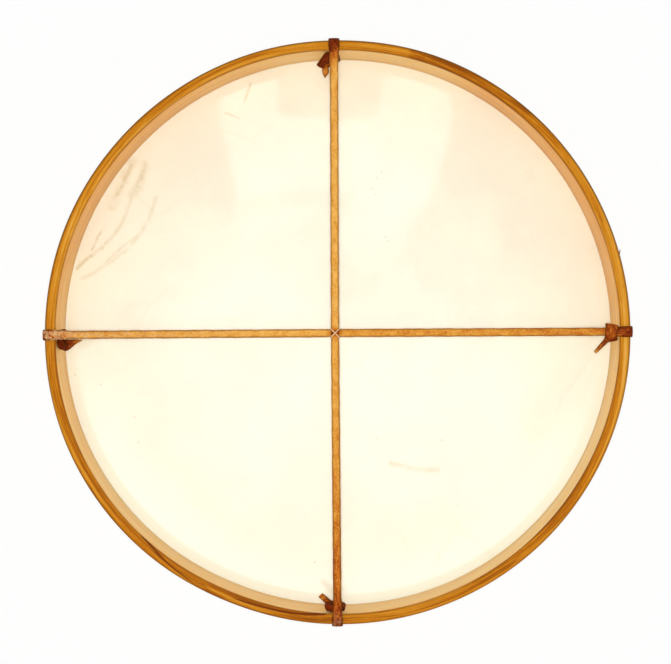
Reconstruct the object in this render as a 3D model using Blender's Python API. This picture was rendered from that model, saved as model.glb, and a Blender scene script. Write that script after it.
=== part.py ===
# A shaman's frame drum, lying on its head with the open back up. A bent wooden hoop, closed by
# a let-in splice, carries a rawhide head that is turned up over its front edge. Two leather laces
# cross the open back as the hand grip. Each runs over the hoop's back edge, down the outside,
# in through a hole in the wall, and is tied there. A thread lashes the crossing.
# Metres, +Z up. The origin is under the drum's centre, on the surface that the head lies on.
# Angles are in degrees, anticlockwise from +X as seen from the open back.

import math

import bmesh
import bpy
import numpy as np

# Hoop
HOOP_DIAMETER = 0.500
HOOP_WALL = 0.0082
HOOP_DEPTH = 0.060
BACK_ARRIS_OUTSIDE = 0.0025      # rounding of the back edge
BACK_ARRIS_INSIDE = 0.0012
BEARING_ROUND = 0.0020           # rounding of the front edge, where the hide turns
BEARING_CHAMFER = 0.0030         # relief inside the front edge
HOOP_LOBE = 0.00085              # a hand-bent hoop is faintly three-lobed
HOOP_LOBE_ANGLE = 73.0
HOOP_SEGMENTS = 120

# Splice that closes the hoop, widest on the inside, with a long scarf at either end
SPLICE_INSIDE = (226.0, 267.5)
SPLICE_OUTSIDE = (240.0, 245.0)
SPLICE_FLAT = 0.0008             # the stiff splice leaves the hoop a little flat
SPLICE_FLAT_SPREAD = 15.0
SCARF_STEPS = 8

# Rawhide head
HEAD_THICKNESS = 0.0010
SKIRT_BELOW_HOLES = 0.0040       # the hide is trimmed this far below the lace holes

# Leather laces
LACE_WIDTH = 0.0072              # in the free span
LACE_THICKNESS = 0.0024
RIM_WIDTH = 0.0096               # pressed flat over the hoop
RIM_THICKNESS = 0.0020
LACE_FLATTENS_OVER = 0.018
LACE_HOLE = 0.0060
LACE_HOLE_SLACK = 0.0008
GATHERED_THICKNESS = 0.0030      # the lace is folded to pass the hole
LACE_HOLE_DROP = 0.022           # from the back edge down to the hole
LACE_HOLE_BEND = 0.0030
LACE_GATHERS_OVER = 0.009
KNOT_STRAND = 0.0031
KNOT_SLACK = 0.0007
KNOT_DROP = 0.012                # from the back edge down to the knot's middle
TAIL_THICKNESS = 0.0019
CROSSING = (-0.0021, -0.0009)    # where the laces meet, seen from the back

# Lashing thread
THREAD = 0.0010
THREAD_SLACK = 0.0006
THREAD_KNOT = 0.0050             # length of the half knot under the crossing

# Running gap between pieces that touch
FIT = 0.0003

# An overhand knot is a trefoil wound on a torus, given by its ring and by how close its strands
# then come, both in tube radii
KNOT_RING = 2.2
KNOT_CLOSENESS = 1.95
KNOT_ENTRY = 14.0                # the trefoil is open from here, where the lace comes in
KNOT_EXIT = 30.0                 # to here, where its tail leaves
KNOT_TURN_TO_HOLE = -112.0       # turns the knot so that its fixed end faces the hole
KNOT_SAMPLES = 30
STRAND_REACH = 0.55              # from a strand's middle to its arris, in strands
ARRIS_SHARE = 0.58               # arris taken off a strip, in half thicknesses

# How finely the solids are faceted
HOLE_SIDES = 16
SPAN_STEPS = 6
GATHER_STEPS = 4
HOLE_TURN_STEPS = 4
CURVE_STEPS = 12                 # between two points of a route
TIE_STEP = 0.0016
THREAD_STEP = 0.0009

# Places of each tied end: the angle on the hoop, then, for a stopper knot, its offset along the
# hoop and its hand. A tail is given as (in from the wall, along the hoop, below the back edge).
TOP_END = {
    "name": "top", "angle": 90.66, "knot_offset": 0.0010, "hand": -1,
    "tail": [
        (0.0078, 0.0040, 0.0195), (0.0072, 0.0088, 0.0170), (0.0096, 0.0112, 0.0145),
        (0.0126, 0.0118, 0.0128), (0.0156, 0.0096, 0.0124), (0.0228, 0.0076, 0.0120),
    ],
    "tail_width": 0.0058, "tip_width": 0.0014,
}
LEFT_END = {
    "name": "left", "angle": 180.66, "knot_offset": 0.0030, "hand": -1,
    "tail": [
        (0.0078, 0.0050, 0.0195), (0.0062, 0.0094, 0.0175), (0.0072, 0.0112, 0.0150),
        (0.0112, 0.0092, 0.0132), (0.0160, 0.0067, 0.0124), (0.0222, 0.0044, 0.0120),
    ],
    "tail_width": 0.0050, "tip_width": 0.0014,
}
BOTTOM_END = {
    "name": "bottom", "angle": 270.06, "knot_offset": -0.0020, "hand": 1,
    "tail": [
        (0.0082, -0.0030, 0.0195), (0.0090, -0.0095, 0.0170), (0.0125, -0.0125, 0.0140),
        (0.0155, -0.0150, 0.0125),
    ],
    "tail_width": 0.0042, "tip_width": 0.0042,
}
RIGHT_END = {
    "name": "right", "angle": 359.96,
    "hitch": [
        (0.0028, -0.0022, 0.0190), (0.0046, -0.0062, 0.0140), (0.0060, -0.0064, 0.0085),
        (0.0074, -0.0010, 0.0046), (0.0086, 0.0052, 0.0030), (0.0097, 0.0078, -0.0008),
        (0.0106, 0.0052, -0.0046), (0.0112, 0.0000, -0.0050), (0.0117, -0.0052, -0.0046),
        (0.0121, -0.0078, -0.0008), (0.0136, -0.0096, 0.0030), (0.0175, -0.0131, 0.0050),
        (0.0228, -0.0178, 0.0055),
    ],
    "tail_width": 0.0038, "tip_width": 0.0038,
}

# Levels and radii that follow from the sizes above
FRONT_EDGE = HEAD_THICKNESS + FIT
BACK_EDGE = FRONT_EDGE + HOOP_DEPTH
HOLE_LEVEL = BACK_EDGE - LACE_HOLE_DROP
SKIRT_TOP = HOLE_LEVEL - LACE_HOLE / 2 - SKIRT_BELOW_HOLES
LACE_LEVEL = BACK_EDGE + FIT + RIM_THICKNESS / 2
LACE_STEP_OVER = (LACE_THICKNESS + FIT) / 2
GATHERED_WIDTH = LACE_HOLE - 2 * LACE_HOLE_SLACK
KNOT_TUBE = (KNOT_STRAND + KNOT_SLACK) / KNOT_CLOSENESS


def clear_scene():
    for item in list(bpy.data.objects):
        bpy.data.objects.remove(item, do_unlink=True)


def make_material(name, colour, roughness):
    material = bpy.data.materials.new(name)
    material.use_nodes = True
    shader = material.node_tree.nodes["Principled BSDF"]
    shader.inputs["Base Color"].default_value = (*colour, 1.0)
    shader.inputs["Roughness"].default_value = roughness
    shader.inputs["Metallic"].default_value = 0.0
    return material


def add_solid(name, vertices, faces, material):
    mesh = bpy.data.meshes.new(name)
    mesh.from_pydata([tuple(map(float, vertex)) for vertex in vertices], [], faces)
    editable = bmesh.new()
    editable.from_mesh(mesh)
    bmesh.ops.recalc_face_normals(editable, faces=editable.faces)
    editable.to_mesh(mesh)
    editable.free()
    mesh.shade_smooth()
    mesh.set_sharp_from_angle(angle=math.radians(35))
    mesh.materials.append(material)
    solid = bpy.data.objects.new(name, mesh)
    bpy.context.collection.objects.link(solid)
    return solid


def hide_cutter(cutter):
    cutter.hide_render = True
    cutter.display_type = "WIRE"


def add_boolean(solid, cutter, operation):
    modifier = solid.modifiers.new(cutter.name, "BOOLEAN")
    modifier.operation = operation
    modifier.solver = "EXACT"
    modifier.object = cutter


# The hoop's outline

def hoop_radius(angle):
    lobe = HOOP_LOBE * math.cos(math.radians(3 * (angle - HOOP_LOBE_ANGLE)))
    splice_middle = sum(SPLICE_INSIDE + SPLICE_OUTSIDE) / 4
    away = (angle - splice_middle + 180) % 360 - 180
    flat = SPLICE_FLAT * math.exp(-(away / SPLICE_FLAT_SPREAD) ** 2)
    return HOOP_DIAMETER / 2 + lobe - flat


def on_hoop(angle, offset, height):
    radius = hoop_radius(angle) + offset
    turn = math.radians(angle)
    return (radius * math.cos(turn), radius * math.sin(turn), height)


def arc(centre, radius, start, stop, steps):
    angles = np.radians(np.linspace(start, stop, steps + 1))
    return [(centre[0] + radius * math.cos(a), centre[1] + radius * math.sin(a)) for a in angles]


def ring_angles():
    return [360 * k / HOOP_SEGMENTS for k in range(HOOP_SEGMENTS)]


def ring_faces(count, closed):
    faces = []
    for ring in range(HOOP_SEGMENTS):
        after = (ring + 1) % HOOP_SEGMENTS
        for k in range(count if closed else count - 1):
            nearby = (k + 1) % count
            faces.append((ring * count + k, after * count + k,
                          after * count + nearby, ring * count + nearby))
    return faces


# Hoop: offsets in its profile are from the outside face

def hoop_profile():
    profile = arc((-BEARING_ROUND, FRONT_EDGE + BEARING_ROUND), BEARING_ROUND, -90, 0, 3)
    profile += arc((-BACK_ARRIS_OUTSIDE, BACK_EDGE - BACK_ARRIS_OUTSIDE), BACK_ARRIS_OUTSIDE, 0, 90, 4)
    inside = BACK_ARRIS_INSIDE - HOOP_WALL
    profile += arc((inside, BACK_EDGE - BACK_ARRIS_INSIDE), BACK_ARRIS_INSIDE, 90, 180, 3)
    profile.append((-HOOP_WALL, FRONT_EDGE + BEARING_CHAMFER))
    profile.append((-HOOP_WALL + BEARING_CHAMFER, FRONT_EDGE))
    return profile


def add_hoop_ring(name, material):
    profile = hoop_profile()
    vertices = [on_hoop(a, offset, height) for a in ring_angles() for offset, height in profile]
    return add_solid(name, vertices, ring_faces(len(profile), closed=True), material)


def scarf_line(inside_angle, outside_angle, shift):
    points = []
    for share in np.linspace(0, 1, SCARF_STEPS + 1):
        angle = inside_angle + share * (outside_angle - inside_angle)
        points.append(on_hoop(angle, shift - HOOP_WALL * (1 - share), 0))
    # The line goes on past both faces of the wall
    points.insert(0, on_hoop(inside_angle, -1.5 * HOOP_WALL, 0))
    points.append(on_hoop(outside_angle, HOOP_WALL / 2, 0))
    return points


def add_splice_prism(name, shift, material):
    first = scarf_line(SPLICE_INSIDE[0], SPLICE_OUTSIDE[0], shift)
    second = scarf_line(SPLICE_INSIDE[1], SPLICE_OUTSIDE[1], shift)
    outline = first + second[::-1]
    levels = (FRONT_EDGE - HOOP_WALL, BACK_EDGE + HOOP_WALL)
    vertices = [(point[0], point[1], level) for level in levels for point in outline]
    count = len(outline)
    faces = [tuple(range(count)), tuple(range(count, 2 * count))]
    for k in range(count):
        nearby = (k + 1) % count
        faces.append((k, nearby, count + nearby, count + k))
    prism = add_solid(name, vertices, faces, material)
    hide_cutter(prism)
    return prism


def add_lace_hole(end, material):
    wall_middle = end_point(end, -HOOP_WALL / 2, 0, LACE_HOLE_DROP)
    bpy.ops.mesh.primitive_cylinder_add(
        vertices=HOLE_SIDES, radius=LACE_HOLE / 2, depth=2 * HOOP_WALL, location=wall_middle,
        rotation=(0, math.pi / 2, math.radians(end["angle"])))
    hole = bpy.context.object
    hole.name = "hole_" + end["name"]
    hole.data.materials.append(material)
    hide_cutter(hole)
    return hole


def add_hoop(ends, wood, splice_wood):
    strip = add_hoop_ring("hoop_strip", wood)
    add_boolean(strip, add_splice_prism("splice_recess", FIT / 2, wood), "DIFFERENCE")
    for end in ends:
        add_boolean(strip, add_lace_hole(end, wood), "DIFFERENCE")
    splice = add_hoop_ring("hoop_splice", splice_wood)
    add_boolean(splice, add_splice_prism("splice_outline", -FIT / 2, splice_wood), "INTERSECT")


# Head: a flat disc of hide whose margin is turned up round the hoop

def add_head(material):
    turn_middle = (-BEARING_ROUND, FRONT_EDGE + BEARING_ROUND)
    inside_bend = BEARING_ROUND + FIT
    profile = arc(turn_middle, inside_bend + HEAD_THICKNESS, -90, 0, 4)
    profile.append((FIT + HEAD_THICKNESS, SKIRT_TOP))
    profile.append((FIT, SKIRT_TOP))
    profile += arc(turn_middle, inside_bend, 0, -90, 3)
    count = len(profile)
    vertices = [on_hoop(a, offset, height) for a in ring_angles() for offset, height in profile]
    faces = ring_faces(count, closed=False)
    playing_centre = len(vertices)
    vertices.append((0, 0, 0))
    inner_centre = len(vertices)
    vertices.append((0, 0, HEAD_THICKNESS))
    for ring in range(HOOP_SEGMENTS):
        after = (ring + 1) % HOOP_SEGMENTS
        faces.append((playing_centre, after * count, ring * count))
        faces.append((inner_centre, ring * count + count - 1, after * count + count - 1))
    return add_solid("drum_head", vertices, faces, material)


# Routes and strips

def unit(vector):
    return vector / np.linalg.norm(vector)


def smooth_route(points, step):
    # A smooth curve through the points, read at an even step
    points = np.asarray(points, float)
    padded = np.vstack([2 * points[0] - points[1], points, 2 * points[-1] - points[-2]])
    knots = np.concatenate([[0], np.cumsum(np.linalg.norm(np.diff(padded, axis=0), axis=1) ** 0.5)])
    fine = [points[0]]
    for k in range(1, len(padded) - 2):
        a, b, c, d = padded[k - 1:k + 3]
        ta, tb, tc, td = knots[k - 1:k + 3]
        for t in np.linspace(tb, tc, CURVE_STEPS + 1)[1:]:
            ab = ((tb - t) * a + (t - ta) * b) / (tb - ta)
            bc = ((tc - t) * b + (t - tb) * c) / (tc - tb)
            cd = ((td - t) * c + (t - tc) * d) / (td - tc)
            abc = ((tc - t) * ab + (t - ta) * bc) / (tc - ta)
            bcd = ((td - t) * bc + (t - tb) * cd) / (td - tb)
            fine.append(((tc - t) * abc + (t - tb) * bcd) / (tc - tb))
    fine = np.array(fine)
    along = distance_along(fine)
    even = np.linspace(0, along[-1], max(2, round(along[-1] / step)) + 1)
    return np.stack([np.interp(even, along, fine[:, axis]) for axis in range(3)], axis=1)


def distance_along(points):
    return np.concatenate([[0], np.cumsum(np.linalg.norm(np.diff(points, axis=0), axis=1))])


def tangents_of(points):
    ahead = np.diff(points, axis=0)
    ahead /= np.linalg.norm(ahead, axis=1)[:, None]
    both = np.vstack([ahead[:1], ahead[:-1] + ahead[1:], ahead[-1:]])
    return both / np.linalg.norm(both, axis=1)[:, None]


def carry_normal(normal, tangent):
    return unit(normal - np.dot(normal, tangent) * tangent)


def normals_along(points, start, normal):
    # The strip's face is carried along without twisting, both ways from the start
    tangents = tangents_of(points)
    normals = np.zeros_like(points)
    normals[start] = carry_normal(np.asarray(normal, float), tangents[start])
    for k in range(start + 1, len(points)):
        normals[k] = carry_normal(normals[k - 1], tangents[k])
    for k in range(start - 1, -1, -1):
        normals[k] = carry_normal(normals[k + 1], tangents[k])
    return tangents, normals


def strip_rings(points, tangents, normals, widths, thicknesses):
    # Eight corners to a ring: a flat strip with its arrises taken off
    sides = np.cross(tangents, normals)
    rings = []
    for k in range(len(points)):
        half_width = widths[k] / 2
        half_thickness = thicknesses[k] / 2
        arris = ARRIS_SHARE * min(half_width, half_thickness)
        corners = [
            (half_width, half_thickness - arris), (half_width - arris, half_thickness),
            (arris - half_width, half_thickness), (-half_width, half_thickness - arris),
            (-half_width, arris - half_thickness), (arris - half_width, -half_thickness),
            (half_width - arris, -half_thickness), (half_width, arris - half_thickness),
        ]
        rings.append([points[k] + across * sides[k] + up * normals[k] for across, up in corners])
    return np.array(rings)


def add_strip(name, rings, material):
    stations, corners = rings.shape[:2]
    faces = [tuple(range(corners)), tuple(range((stations - 1) * corners, stations * corners))]
    for k in range(stations - 1):
        for c in range(corners):
            nearby = (c + 1) % corners
            faces.append((k * corners + c, k * corners + nearby,
                          (k + 1) * corners + nearby, (k + 1) * corners + c))
    return add_solid(name, rings.reshape(-1, 3), faces, material)


def print_least_gap(name, points, rings, reach):
    # Between stretches that are further apart along the strip than the reach
    along = distance_along(points)
    least = math.inf
    for k in range(len(points)):
        others = rings[np.abs(along - along[k]) > reach].reshape(-1, 1, 3)
        if len(others):
            least = min(least, np.linalg.norm(others - rings[k][None], axis=2).min())
    print(f"{name}: {along[-1] * 1000:.0f} mm long, least gap to itself {least * 1000:.2f} mm")


# Laces

def end_point(end, inward, along, drop):
    turn = math.radians(end["angle"])
    outward = np.array([math.cos(turn), math.sin(turn), 0])
    sideways = np.array([-math.sin(turn), math.cos(turn), 0])
    wall = hoop_radius(end["angle"]) - HOOP_WALL
    return (wall - inward) * outward + along * sideways + np.array([0, 0, BACK_EDGE - drop])


def span_route(end, step_over):
    # From the crossing straight to the hoop's inside face
    crossing = np.array([*CROSSING, LACE_LEVEL + step_over])
    edge = end_point(end, 0, 0, BACK_EDGE - LACE_LEVEL)
    start_of_rim = end_point(end, LACE_FLATTENS_OVER, 0, BACK_EDGE - LACE_LEVEL)
    reach = np.linalg.norm(start_of_rim - crossing) / np.linalg.norm(edge - crossing)
    shares = [*np.linspace(0, reach, SPAN_STEPS + 1), (1 + reach) / 2, 1]
    return np.array([crossing + share * (edge - crossing) for share in shares])


def wrap_route(end):
    # Over the back edge, down the outside, where the lace is gathered, and into the hole
    outside = -HOOP_WALL - FIT
    bend = BACK_ARRIS_OUTSIDE + FIT + RIM_THICKNESS / 2
    route = arc((BACK_ARRIS_OUTSIDE - HOOP_WALL, BACK_ARRIS_OUTSIDE), bend, -90, -180, 5)
    hole_top = LACE_HOLE_DROP - LACE_HOLE_BEND
    for share in np.linspace(0, 1, GATHER_STEPS + 1):
        thickness = RIM_THICKNESS + share * (GATHERED_THICKNESS - RIM_THICKNESS)
        route.append((outside - thickness / 2, hole_top - (1 - share) * LACE_GATHERS_OVER))
    turn_middle = (outside - GATHERED_THICKNESS / 2 + LACE_HOLE_BEND, hole_top)
    route += arc(turn_middle, LACE_HOLE_BEND, 180, 90, HOLE_TURN_STEPS)[1:]
    return np.array([end_point(end, inward, 0, drop) for inward, drop in route])


def knot_points(end):
    # The torus stands against the wall
    middle = FIT + STRAND_REACH * KNOT_STRAND + KNOT_TUBE
    points = []
    for share in np.linspace(360 - KNOT_ENTRY, KNOT_EXIT, KNOT_SAMPLES):
        twist = math.radians(3 * share)
        turn = math.radians(2 * share + KNOT_TURN_TO_HOLE)
        ring = KNOT_TUBE * (KNOT_RING + math.cos(twist))
        inward = middle + KNOT_TUBE * math.sin(twist)
        along = end["knot_offset"] + end["hand"] * ring * math.cos(turn)
        points.append(end_point(end, inward, along, KNOT_DROP - ring * math.sin(turn)))
    return points


def tail_places(end):
    return end["hitch"][-4:] if "hitch" in end else end["tail"]


def tie_route(end):
    through = [end_point(end, inward, 0, LACE_HOLE_DROP)
               for inward in (-HOOP_WALL / 2, 0, GATHERED_THICKNESS / 2)]
    if "hitch" in end:
        tied = [end_point(end, *place) for place in end["hitch"]]
    else:
        tied = knot_points(end) + [end_point(end, *place) for place in end["tail"]]
    return smooth_route(through + tied, TIE_STEP)


def lace_half(end, step_over):
    span = span_route(end, step_over)
    wrap = wrap_route(end)
    points = np.vstack([span, wrap, tie_route(end)])
    along = distance_along(points)
    at_rim = along[len(span) - 1]
    at_hole = along[len(span) + len(wrap) - 1 - HOLE_TURN_STEPS]
    at_mouth = along[len(span) + len(wrap)] + HOOP_WALL / 2
    tail = distance_along(np.array([end_point(end, *place) for place in tail_places(end)]))[-1]
    end_of_knot = along[-1] - tail
    stations = [0, at_rim - LACE_FLATTENS_OVER, at_rim, at_hole - LACE_GATHERS_OVER, at_hole, at_mouth,
                at_mouth + GATHERED_WIDTH, end_of_knot, end_of_knot + tail / 3,
                end_of_knot + 2 * tail / 3, along[-1]]
    widths = [LACE_WIDTH, LACE_WIDTH, RIM_WIDTH, RIM_WIDTH, GATHERED_WIDTH, GATHERED_WIDTH,
              KNOT_STRAND, KNOT_STRAND, end["tail_width"], end["tail_width"], end["tip_width"]]
    thicknesses = [LACE_THICKNESS, LACE_THICKNESS, RIM_THICKNESS, RIM_THICKNESS,
                   GATHERED_THICKNESS, GATHERED_THICKNESS, KNOT_STRAND, KNOT_STRAND,
                   TAIL_THICKNESS, TAIL_THICKNESS, TAIL_THICKNESS]
    face_up = np.interp(along, [end_of_knot, end_of_knot + tail / 3], [0, 1])
    return points, np.interp(along, stations, widths), np.interp(along, stations, thicknesses), face_up


def lay_face_up(outward, level, tangents, normals):
    # The strip turns about its own length, the nearer way, until its tail lies flat
    turn = 0
    for k in outward:
        if level[k] > 0:
            upright = carry_normal(np.array([0, 0, 1.0]), tangents[k])
            across = np.cross(tangents[k], normals[k])
            needed = math.atan2(np.dot(upright, across), np.dot(upright, normals[k]))
            turn += (needed - turn + math.pi / 2) % math.pi - math.pi / 2
            normals[k] = math.cos(level[k] * turn) * normals[k] + math.sin(level[k] * turn) * across


def add_lace(name, first_end, second_end, step_over, material):
    first = lace_half(first_end, step_over)
    second = lace_half(second_end, step_over)
    points, widths, thicknesses, level = (np.concatenate([a[:0:-1], b]) for a, b in zip(first, second))
    middle = len(first[0]) - 1
    tangents, normals = normals_along(points, middle, (0, 0, 1))
    lay_face_up(range(middle, -1, -1), level, tangents, normals)
    lay_face_up(range(middle, len(points)), level, tangents, normals)
    rings = strip_rings(points, tangents, normals, widths, thicknesses)
    print_least_gap(name, points, rings, 2 * RIM_WIDTH)
    return add_strip(name, rings, material)


# Lashing: an X over the crossing, its two ends half-knotted under the left arm

def lashing_route():
    edge = LACE_WIDTH / 2 + FIT
    corner = edge + THREAD
    upper = LACE_LEVEL + LACE_STEP_OVER + LACE_THICKNESS / 2 + FIT + THREAD / 2
    crest = upper + THREAD + THREAD_SLACK
    lower = LACE_LEVEL - LACE_STEP_OVER - LACE_THICKNESS / 2 - FIT - THREAD / 2
    twist = (THREAD + THREAD_SLACK) / 2
    knot_side = -corner - twist
    knot_level = lower - twist
    free_side = knot_side - 3 * THREAD
    free_end = THREAD_KNOT / 2 + THREAD

    def knot_strand(phase):
        strand = []
        for share in np.linspace(-1, 1, 9):
            turn = math.pi * share + phase
            strand.append((knot_side - twist * math.sin(turn), share * THREAD_KNOT / 2,
                           knot_level + twist * math.cos(turn)))
        return strand

    # In under the left arm, over to the lower right, under the right arm, over to the lower left
    route = [(free_side, -free_end, knot_level - twist), *knot_strand(0)]
    route.append((-corner, free_end, knot_level - twist))
    route += [(-corner, corner, LACE_LEVEL), (-edge, edge, upper), (0, 0, upper), (edge, -edge, upper)]
    route += [(corner, -corner, LACE_LEVEL), (corner, -edge - THREAD / 2, lower + THREAD / 2)]
    route += [(corner, THREAD - edge, lower), (corner, edge - THREAD, lower)]
    route += [(corner, edge + THREAD / 2, lower + THREAD / 2), (corner, corner, LACE_LEVEL)]
    route += [(edge, edge, upper), (0, 0, crest), (-edge, -edge, upper), (-corner, -corner, LACE_LEVEL)]
    route += [(-corner, -edge - THREAD / 2, lower + THREAD / 2), *knot_strand(math.pi)]
    route.append((free_side, free_end, knot_level + twist))
    return smooth_route(np.array(route) + np.array([*CROSSING, 0]), THREAD_STEP)


def add_lashing(material):
    points = lashing_route()
    tangents, normals = normals_along(points, 0, (0, 0, 1))
    sizes = np.full(len(points), THREAD)
    rings = strip_rings(points, tangents, normals, sizes, sizes)
    print_least_gap("centre_lashing", points, rings, 4 * THREAD)
    return add_strip("centre_lashing", rings, material)


def main():
    clear_scene()
    ends = (TOP_END, LEFT_END, BOTTOM_END, RIGHT_END)
    add_hoop(ends, make_material("bent_ash", (0.58, 0.24, 0.035), 0.42),
             make_material("splice_ash", (0.50, 0.20, 0.03), 0.42))
    add_head(make_material("rawhide", (0.95, 0.85, 0.68), 0.5))
    add_lace("lace_horizontal", LEFT_END, RIGHT_END, -LACE_STEP_OVER,
             make_material("lace_leather_across", (0.68, 0.33, 0.07), 0.5))
    add_lace("lace_vertical", BOTTOM_END, TOP_END, LACE_STEP_OVER,
             make_material("lace_leather_upright", (0.66, 0.31, 0.06), 0.5))
    add_lashing(make_material("thread", (0.93, 0.72, 0.45), 0.8))


main()
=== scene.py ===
import math

import bpy
import numpy as np
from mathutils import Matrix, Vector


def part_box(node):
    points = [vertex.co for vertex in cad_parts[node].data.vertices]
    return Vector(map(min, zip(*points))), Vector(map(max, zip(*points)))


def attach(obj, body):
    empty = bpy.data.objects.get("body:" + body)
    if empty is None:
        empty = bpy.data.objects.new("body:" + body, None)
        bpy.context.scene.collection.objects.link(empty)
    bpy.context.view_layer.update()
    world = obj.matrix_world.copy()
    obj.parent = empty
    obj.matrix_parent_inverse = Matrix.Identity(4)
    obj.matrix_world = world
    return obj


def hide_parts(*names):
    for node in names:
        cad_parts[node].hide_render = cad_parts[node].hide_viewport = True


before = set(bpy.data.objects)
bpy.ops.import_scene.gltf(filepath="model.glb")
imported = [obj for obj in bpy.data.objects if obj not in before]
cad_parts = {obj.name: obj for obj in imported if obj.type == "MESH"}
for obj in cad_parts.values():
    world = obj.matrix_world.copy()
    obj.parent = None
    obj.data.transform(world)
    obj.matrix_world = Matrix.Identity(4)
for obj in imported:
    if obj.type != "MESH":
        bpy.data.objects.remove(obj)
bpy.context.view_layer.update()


# small helpers for modelling
def clearSelection():
    if bpy.context.object and bpy.context.object.mode != "OBJECT":
        bpy.ops.object.mode_set(mode="OBJECT")
    bpy.ops.object.select_all(action="DESELECT")


def pickPiece(piece, *others):
    clearSelection()
    for each in (*others, piece):
        each.select_set(True)
    bpy.context.view_layer.objects.active = piece


def editAll():
    bpy.ops.object.mode_set(mode="EDIT")
    selectAll()


def selectAll():
    bpy.ops.mesh.select_all(action="SELECT")


def turnOutward():
    # every face looks outward, and editing ends
    selectAll()
    bpy.ops.mesh.normals_make_consistent(inside=False)
    bpy.ops.object.mode_set(mode="OBJECT")


def applyPlace():
    bpy.ops.object.transform_apply(location=True, rotation=True, scale=True)


def namePiece(name):
    piece = bpy.context.object
    piece.name = name
    piece.data.name = name
    return piece


def pickPoints(piece, test):
    bpy.ops.object.mode_set(mode="EDIT")
    bpy.ops.mesh.select_mode(type="VERT")
    bpy.ops.mesh.select_all(action="DESELECT")
    bpy.ops.object.mode_set(mode="OBJECT")
    for point in piece.data.vertices:
        point.select = test(point.co)
    bpy.ops.object.mode_set(mode="EDIT")


def drawLine(name, places):
    # one point, drawn out from place to place
    clearSelection()
    bpy.ops.mesh.primitive_plane_add(size=0.01, location=places[0])
    line = namePiece(name)
    editAll()
    bpy.ops.mesh.merge(type="CENTER")
    for here, there in zip(places, places[1:]):
        step = [float(b - a) for a, b in zip(here, there)]
        bpy.ops.mesh.extrude_region_move(TRANSFORM_OT_translate={"value": step})
    bpy.ops.object.mode_set(mode="OBJECT")
    applyPlace()
    return line


def applyModifier(piece, kind, **settings):
    modifier = piece.modifiers.new(kind.lower(), kind)
    for key, value in settings.items():
        setattr(modifier, key, value)
    bpy.context.view_layer.objects.active = piece
    bpy.ops.object.modifier_apply(modifier=modifier.name)


def smoothFaces(piece, degrees):
    pickPiece(piece)
    bpy.ops.object.shade_smooth_by_angle(angle=math.radians(degrees))


def meshPoints(piece):
    places = np.empty(len(piece.data.vertices) * 3, np.float32)
    piece.data.vertices.foreach_get("co", places)
    return places.reshape(-1, 3).astype(float)


def movePoints(piece, places):
    piece.data.vertices.foreach_set("co", places.astype(np.float32).ravel())
    piece.data.update()


def storeValues(piece, name, values):
    vector = values.ndim == 2
    layer = piece.data.attributes.new(name, "FLOAT_VECTOR" if vector else "FLOAT", "POINT")
    layer.data.foreach_set("vector" if vector else "value", values.astype(np.float32).ravel())


def polar(places):
    angle = np.degrees(np.arctan2(places[:, 1], places[:, 0])) % 360
    return angle, np.hypot(places[:, 0], places[:, 1])


def swingTo(places, angle, away):
    places[:, 0] = away * np.cos(np.radians(angle))
    places[:, 1] = away * np.sin(np.radians(angle))


def unitRows(rows):
    return rows / np.linalg.norm(rows, axis=1)[:, None]


def readAt(where, stops):
    return np.interp(where, *zip(*stops))


def putOnDrum(piece, finish, node):
    piece.data.materials.clear()
    piece.data.materials.append(finish)
    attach(piece, "root")
    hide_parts(node)


# small helpers for finishes
def paint(red, green, blue):
    # a screen colour, 0 to 255, as the shader's own colour
    shares = [value / 255 for value in (red, green, blue)]
    return (*[s / 12.92 if s <= 0.04045 else ((s + 0.055) / 1.055) ** 2.4 for s in shares], 1.0)


def newFinish(name):
    finish = bpy.data.materials.new(name)
    finish.use_nodes = True
    return finish, finish.node_tree, finish.node_tree.nodes["Principled BSDF"]


class wire:
    # what a node puts out, which can be reckoned with like a number
    def __init__(self, tree, socket):
        self.tree, self.socket = tree, socket

    def reckon(self, operation, other):
        return addNode(self.tree, "Math", {0: self, 1: other}, operation=operation)

    def __add__(self, other):
        return self.reckon("ADD", other)

    def __sub__(self, other):
        return self.reckon("SUBTRACT", other)

    def __mul__(self, other):
        return self.reckon("MULTIPLY", other)

    def __truediv__(self, other):
        return self.reckon("DIVIDE", other)


def fillSockets(node, values):
    for name, value in values.items():
        if isinstance(value, wire):
            value.tree.links.new(value.socket, node.inputs[name])
        else:
            node.inputs[name].default_value = value


def addNode(tree, kind, sockets=None, give=0, **settings):
    node = tree.nodes.new("ShaderNode" + kind)
    for key, value in settings.items():
        setattr(node, key, value)
    fillSockets(node, sockets or {})
    return wire(tree, node.outputs[give])


def larger(first, second):
    return first.reckon("MAXIMUM", second)


def vectorMath(first, operation, second=None):
    sockets = {0: first}
    if second is not None:
        sockets["Scale" if operation == "SCALE" else 1] = second
    isNumber = operation in ("DISTANCE", "DOT_PRODUCT", "LENGTH")
    return addNode(first.tree, "VectorMath", sockets, "Value" if isNumber else "Vector", operation=operation)


def axisOf(vector, axis):
    return addNode(vector.tree, "SeparateXYZ", {0: vector}, axis)


def mixColour(share, first, second):
    # screen colours are given as they are
    first, second = [paint(*colour) if isinstance(colour, tuple) else colour for colour in (first, second)]
    return addNode(share.tree, "Mix", {0: share, 6: first, 7: second}, 2, data_type="RGBA")


def paintOver(colour, look, layers):
    for share, name in layers:
        colour = mixColour(share, colour, look[name])
    return colour


def stepBetween(value, low, high):
    sockets = {"Value": value, "From Min": low, "From Max": high}
    return addNode(value.tree, "MapRange", sockets, interpolation_type="SMOOTHSTEP")


def rescaled(value, source, target):
    names = ("From Min", "From Max", "To Min", "To Max")
    return addNode(value.tree, "MapRange", {"Value": value, **dict(zip(names, (*source, *target)))})


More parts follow.
